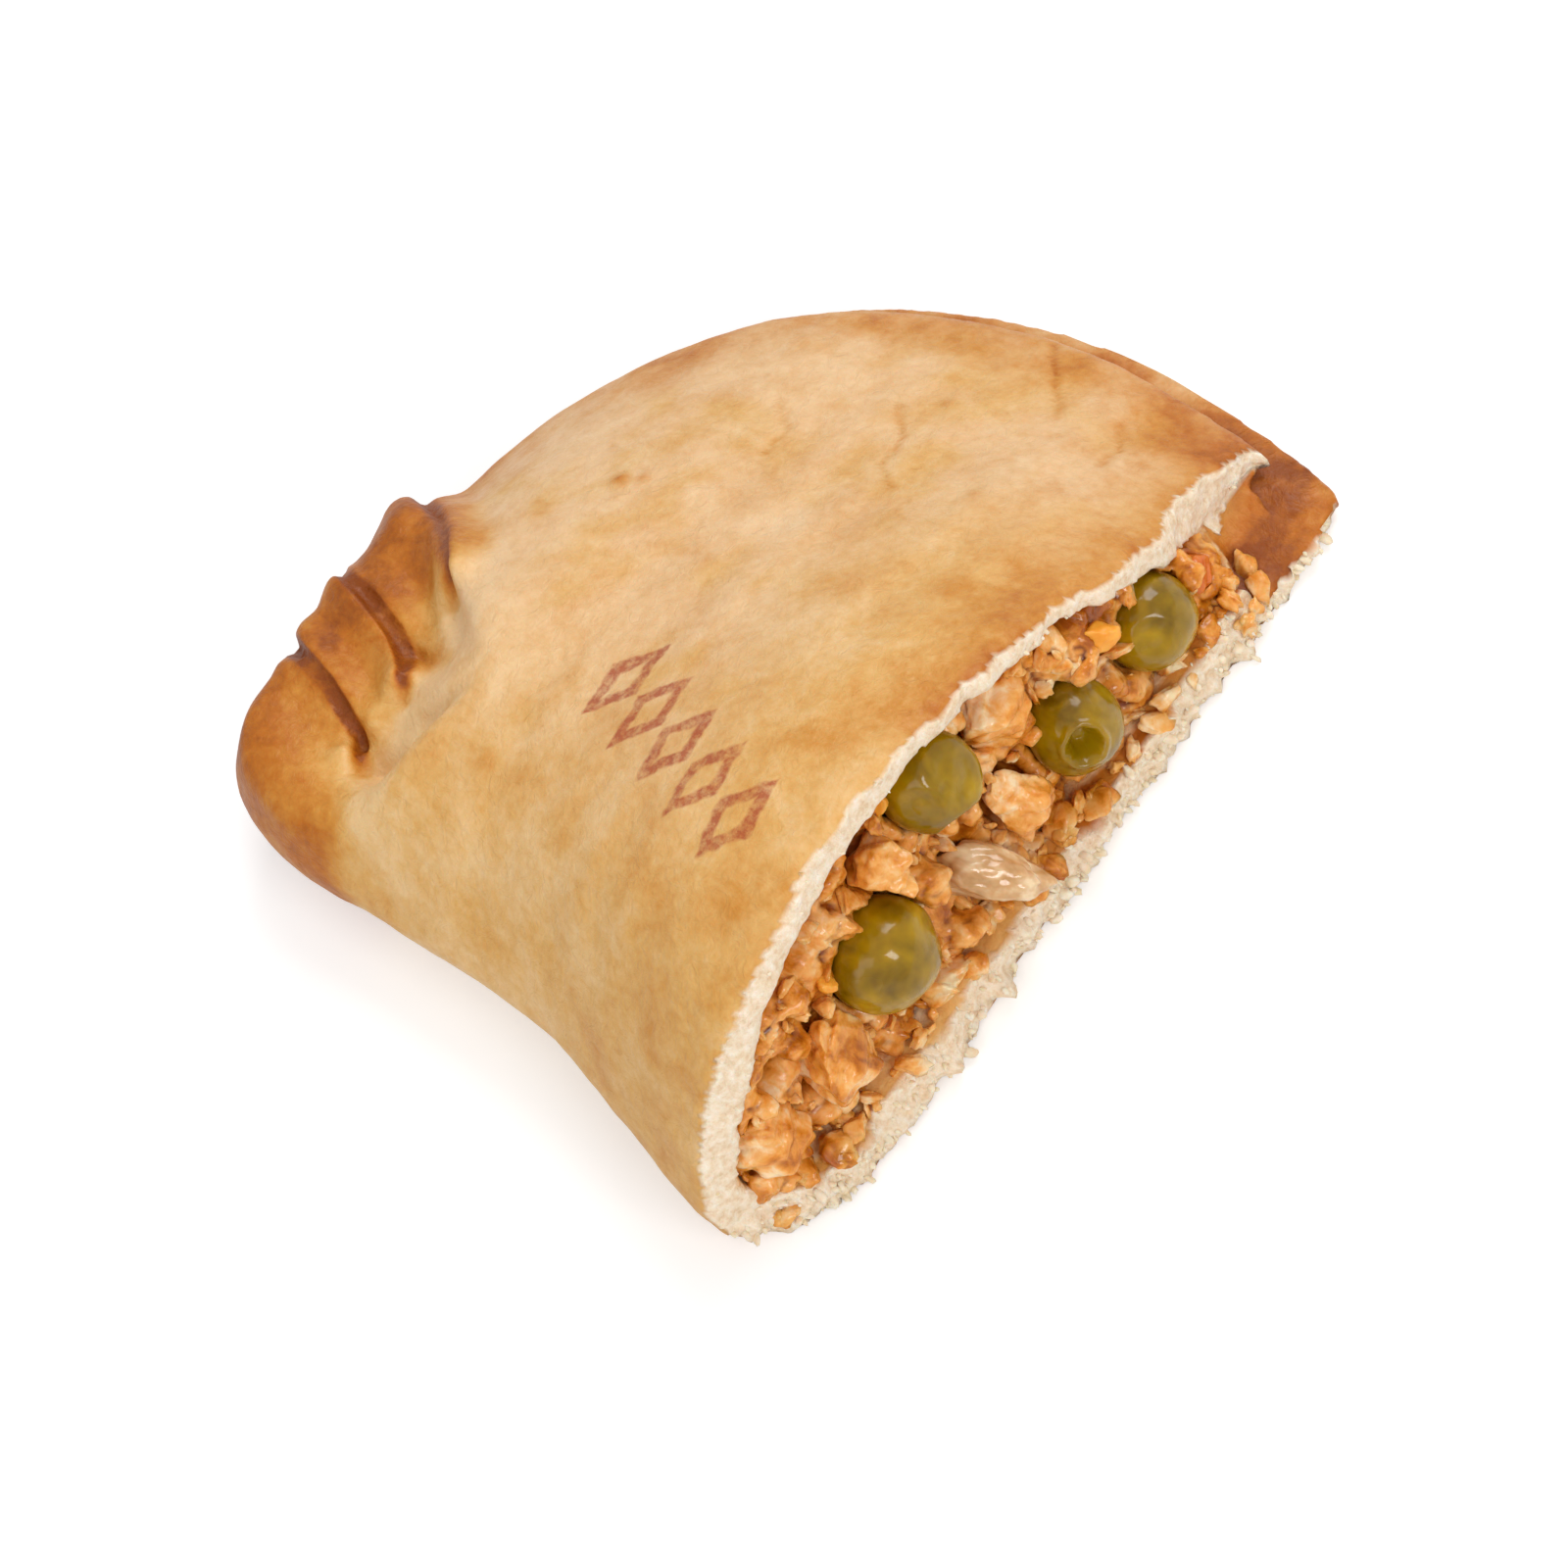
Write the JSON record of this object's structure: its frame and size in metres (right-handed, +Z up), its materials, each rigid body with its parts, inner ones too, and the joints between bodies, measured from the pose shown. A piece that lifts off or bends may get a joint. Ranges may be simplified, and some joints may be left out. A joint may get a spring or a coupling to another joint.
{
  "type": "half empanada",
  "caption": "Half of a baked empanada: folded dough with a pleated corner, torn across to show a moist filling of fish, peas and onion.",
  "frame": {"origin": "under the middle of the half's bounding box, on its flat base", "axes": "+X from the pleated corner to the torn face, +Y from the fold to the sealed curved edge, +Z up"},
  "size_m": [0.0626, 0.0704, 0.027],
  "materials": {
    "baked_dough": "baked, with a thin egg glaze",
    "tomato_filling": "moist sauce",
    "fish_chunk": "moist flakes stained by the sauce",
    "soft_onion": "cooked soft and half clear",
    "cooked_pea": "cooked skin, moist",
    "red_pepper": "cooked skin, moist"
  },
  "bodies": {
    "root": {"dough": "baked_dough", "filling": "tomato_filling", "fish_chunk_1": "fish_chunk", "fish_chunk_2": "fish_chunk", "fish_chunk_3": "fish_chunk", "fish_chunk_4": "fish_chunk", "fish_chunk_5": "fish_chunk", "onion_piece": "soft_onion", "pea_1": "cooked_pea", "pea_2": "cooked_pea", "pea_3": "cooked_pea", "pea_4": "cooked_pea", "pepper_piece": "red_pepper"}
  },
  "joints": []
}
